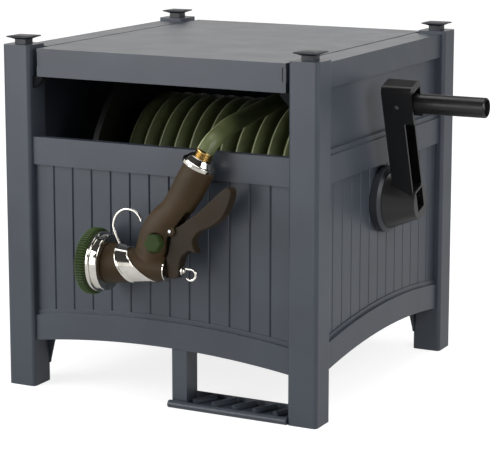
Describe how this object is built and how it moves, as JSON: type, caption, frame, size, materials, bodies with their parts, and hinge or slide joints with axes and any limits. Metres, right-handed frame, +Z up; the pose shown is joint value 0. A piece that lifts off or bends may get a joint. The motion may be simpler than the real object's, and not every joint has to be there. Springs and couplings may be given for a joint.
{
  "type": "garden hose reel cabinet",
  "caption": "Square four-post hose reel cabinet with panelled sides, lid, front window, fold-out crank, foot step, wound garden hose and trigger spray nozzle.",
  "frame": {"origin": "on the standing surface, under the middle of the square of four posts", "axes": "+Z up, -Y to the front with the hose window, +X to the side with the crank, reel shaft along X"},
  "size_m": [0.608, 0.5208, 0.4615],
  "materials": {
    "cabinet": "moulded resin, satin",
    "trim": "moulded resin, darker, satin",
    "reel": "moulded black resin, satin",
    "crank": "moulded black nylon, fine texture",
    "bush": "natural acetal",
    "steel": "zinc plated",
    "chrome": "polished",
    "brass": "machined",
    "hose": "smooth vinyl over braid",
    "grip_rubber": "soft-touch coating",
    "green_rubber": "soft moulded",
    "seal": "nitrile"
  },
  "bodies": {
    "root": {"post_front_left": "cabinet", "post_front_right": "cabinet", "post_back_left": "cabinet", "post_back_right": "cabinet", "finial_front_left": "cabinet", "finial_front_right": "cabinet", "finial_back_left": "cabinet", "finial_back_right": "cabinet", "front_panel": "cabinet", "back_panel": "cabinet", "left_panel": "cabinet", "right_panel": "cabinet", "hinge_pins": "steel", "lid_rests": "trim", "foot_step": "trim", "step_screws": "steel", "bearing_housing": "trim", "bearing_bush": "bush", "housing_screws": "steel", "swivel_body": "reel", "swivel_nut": "reel", "hose_free": "hose", "hose_coupling": "brass", "coupling_nut": "chrome", "nozzle_grip": "grip_rubber", "barrel_band": "chrome", "rear_ring": "chrome", "side_cap": "green_rubber", "nozzle_hook": "chrome", "trigger_pin": "steel", "valve_spring": "steel"},
    "reel": {"swivel_seals": "seal", "water_tube": "brass", "outlet_elbow": "brass", "drum_barrel": "reel", "flange_left": "reel", "flange_right": "reel", "flange_screws": "steel", "hub_pin": "steel", "hose_inner_layers": "hose", "hose_winding": "hose", "crank_shaft": "crank", "crank_arm": "crank", "crank_screw": "steel", "grip_pivot_pin": "steel"},
    "lid": {"lid": "cabinet"},
    "grip": {"grip_yoke": "crank", "grip_retainer": "steel"},
    "grip_sleeve": {"grip_sleeve": "crank"},
    "trigger": {"trigger_lever": "grip_rubber"},
    "stem": {"valve_stem": "chrome", "stem_nut": "chrome", "latch_clip": "chrome"},
    "dial": {"spray_dial": "grip_rubber", "dial_bezel": "chrome", "spray_face": "green_rubber", "bumper_ring": "green_rubber"}
  },
  "joints": [
    {"name": "lid_hinge", "type": "hinge", "parent": "root", "child": "lid", "pos_m": [0, 0.206, 0.43], "axis": [-1, 0, 0], "range_deg": [0, 100]},
    {"name": "reel_spin", "type": "hinge", "parent": "root", "child": "reel", "pos_m": [0, 0, 0.249], "axis": [1, 0, 0], "continuous": true, "deforming": ["hose_free"]},
    {"name": "grip_fold", "type": "hinge", "parent": "reel", "child": "grip", "pos_m": [0.256, -0.04404, 0.38295], "axis": [0, 0.95, 0.3123], "range_deg": [0, 90]},
    {"name": "grip_spin", "type": "hinge", "parent": "grip", "child": "grip_sleeve", "pos_m": [0.32, -0.04404, 0.38295], "axis": [1, 0, 0], "continuous": true},
    {"name": "trigger_pull", "type": "hinge", "parent": "root", "child": "trigger", "pos_m": [0.0427, -0.25037, 0.23569], "axis": [0, -0.9936, 0.1132], "range_deg": [0, 9], "stiffness_Nm_per_rad": 3, "springref_deg": -8.59},
    {"name": "stem_slide", "type": "slide", "parent": "root", "child": "stem", "axis": [1, 0, 0], "range_m": [0, 0.0076], "deforming": ["valve_spring"]},
    {"name": "dial_spin", "type": "hinge", "parent": "root", "child": "dial", "pos_m": [-0.05, -0.2558, 0.188], "axis": [1, 0, 0], "continuous": true}
  ],
  "couplings": [
    {"joint": "stem_slide", "follows": "trigger_pull", "m_per_rad": 0.048}
  ]
}
